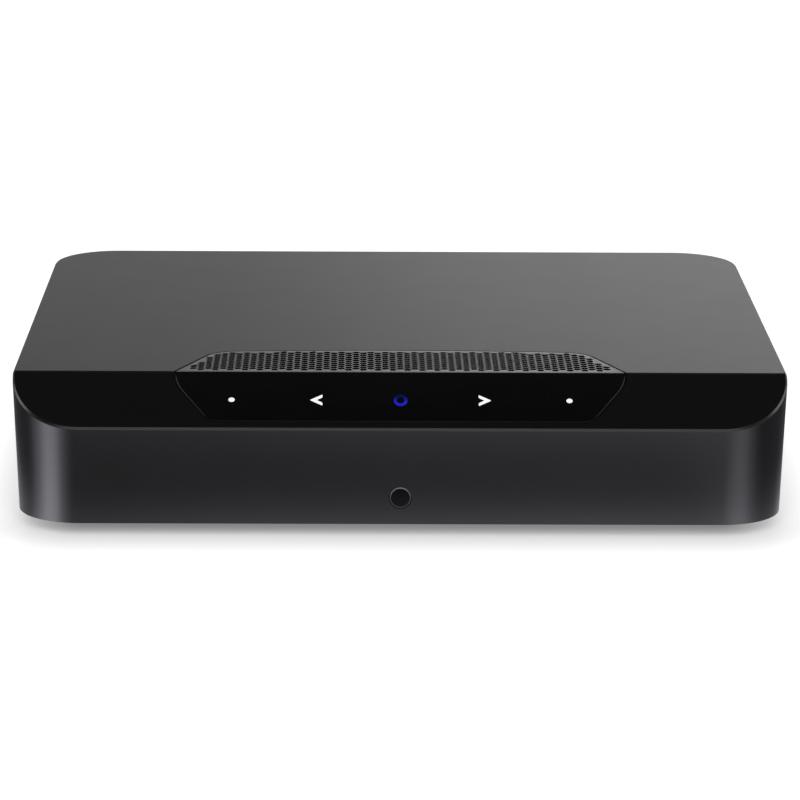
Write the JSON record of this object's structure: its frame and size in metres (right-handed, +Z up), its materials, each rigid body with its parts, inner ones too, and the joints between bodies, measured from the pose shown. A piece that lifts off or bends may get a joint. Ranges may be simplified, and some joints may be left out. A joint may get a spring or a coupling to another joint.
{
  "type": "streaming amplifier",
  "caption": "Low, square-cornered desktop streaming amplifier with a sloping touch facet, honeycomb vent, and sockets and screw posts in a rear recess.",
  "frame": {"origin": "on the table, under the centre of the overall box", "axes": "+X to the right seen from the front, +Y to the rear, +Z up"},
  "size_m": [0.219, 0.1926, 0.044],
  "materials": {
    "shell_coat": "satin",
    "frame_plastic": "gloss",
    "grille_metal": "satin",
    "panel_gloss": "gloss",
    "light_guide_clear": "clear",
    "board_green": "satin",
    "chip_black": "matt",
    "moulded_black": "matt",
    "foot_rubber": "matt",
    "screw_steel": "satin",
    "bare_aluminium": "satin",
    "tin_plate": "satin",
    "gold_plate": "polished",
    "nickel_plate": "polished",
    "ferrite": "matt",
    "copper_winding": "satin",
    "can_sleeve": "satin",
    "film_box": "satin",
    "fuse_body": "satin",
    "wire_black": "satin",
    "knob_red": "gloss",
    "knob_black": "gloss"
  },
  "bodies": {
    "root": {"top_shell": "shell_coat", "inlay_frame": "frame_plastic", "vent_grille": "grille_metal", "touch_panel": "panel_gloss", "ir_window": "panel_gloss", "light_guide": "light_guide_clear", "touch_board": "board_green", "main_board": "board_green", "power_board": "board_green", "streaming_module": "board_green", "wifi_antennas": "board_green", "ir_receiver": "chip_black", "amplifier_chips": "chip_black", "rectifier": "chip_black", "base_plate": "moulded_black", "rear_panel": "moulded_black", "line_in_jack": "moulded_black", "mains_inlet": "moulded_black", "ethernet_jack": "moulded_black", "subwoofer_jack": "moulded_black", "post_collars": "moulded_black", "post_insulators": "moulded_black", "usb_tongue": "moulded_black", "hdmi_tongue": "moulded_black", "feet": "foot_rubber", "case_screws": "screw_steel", "board_screws": "screw_steel", "rear_panel_screws": "screw_steel", "heat_sink": "bare_aluminium", "power_heat_sink": "bare_aluminium", "module_shield": "tin_plate", "usb_port": "tin_plate", "hdmi_port": "tin_plate", "binding_posts": "gold_plate", "post_nuts": "gold_plate", "post_tabs": "gold_plate", "ethernet_contacts": "gold_plate", "subwoofer_sleeve": "gold_plate", "mains_pins": "nickel_plate", "transformer_core": "ferrite", "mains_choke": "ferrite", "output_inductors": "ferrite", "transformer_winding": "copper_winding", "supply_capacitors": "can_sleeve", "bulk_capacitor": "can_sleeve", "filter_capacitors": "film_box", "x_capacitor": "film_box", "fuse": "fuse_body", "mains_wires": "wire_black", "supply_wires": "wire_black", "antenna_leads": "wire_black", "ribbon_cable": "wire_black"},
    "washer_right_plus": {"clamp_washer_right_plus": "gold_plate"},
    "knob_right_plus": {"post_knob_right_plus": "knob_red"},
    "washer_right_minus": {"clamp_washer_right_minus": "gold_plate"},
    "knob_right_minus": {"post_knob_right_minus": "knob_black"},
    "washer_left_plus": {"clamp_washer_left_plus": "gold_plate"},
    "knob_left_plus": {"post_knob_left_plus": "knob_red"},
    "washer_left_minus": {"clamp_washer_left_minus": "gold_plate"},
    "knob_left_minus": {"post_knob_left_minus": "knob_black"}
  },
  "joints": [
    {"name": "washer_slide_right_plus", "type": "slide", "parent": "root", "child": "washer_right_plus", "axis": [0, 1, 0], "range_m": [0, 0.0045]},
    {"name": "knob_turn_right_plus", "type": "hinge", "parent": "washer_right_plus", "child": "knob_right_plus", "pos_m": [-0.003, 0.0905, 0.022], "axis": [0, 1, 0], "range_deg": [0, 2161]},
    {"name": "washer_slide_right_minus", "type": "slide", "parent": "root", "child": "washer_right_minus", "axis": [0, 1, 0], "range_m": [0, 0.0045]},
    {"name": "knob_turn_right_minus", "type": "hinge", "parent": "washer_right_minus", "child": "knob_right_minus", "pos_m": [-0.022, 0.0905, 0.022], "axis": [0, 1, 0], "range_deg": [0, 2161]},
    {"name": "washer_slide_left_plus", "type": "slide", "parent": "root", "child": "washer_left_plus", "axis": [0, 1, 0], "range_m": [0, 0.0045]},
    {"name": "knob_turn_left_plus", "type": "hinge", "parent": "washer_left_plus", "child": "knob_left_plus", "pos_m": [-0.041, 0.0905, 0.022], "axis": [0, 1, 0], "range_deg": [0, 2161]},
    {"name": "washer_slide_left_minus", "type": "slide", "parent": "root", "child": "washer_left_minus", "axis": [0, 1, 0], "range_m": [0, 0.0045]},
    {"name": "knob_turn_left_minus", "type": "hinge", "parent": "washer_left_minus", "child": "knob_left_minus", "pos_m": [-0.06, 0.0905, 0.022], "axis": [0, 1, 0], "range_deg": [0, 2161]}
  ],
  "couplings": [
    {"joint": "knob_turn_right_plus", "follows": "washer_slide_right_plus", "rad_per_m": 8377.6},
    {"joint": "knob_turn_right_minus", "follows": "washer_slide_right_minus", "rad_per_m": 8377.6},
    {"joint": "knob_turn_left_plus", "follows": "washer_slide_left_plus", "rad_per_m": 8377.6},
    {"joint": "knob_turn_left_minus", "follows": "washer_slide_left_minus", "rad_per_m": 8377.6}
  ]
}
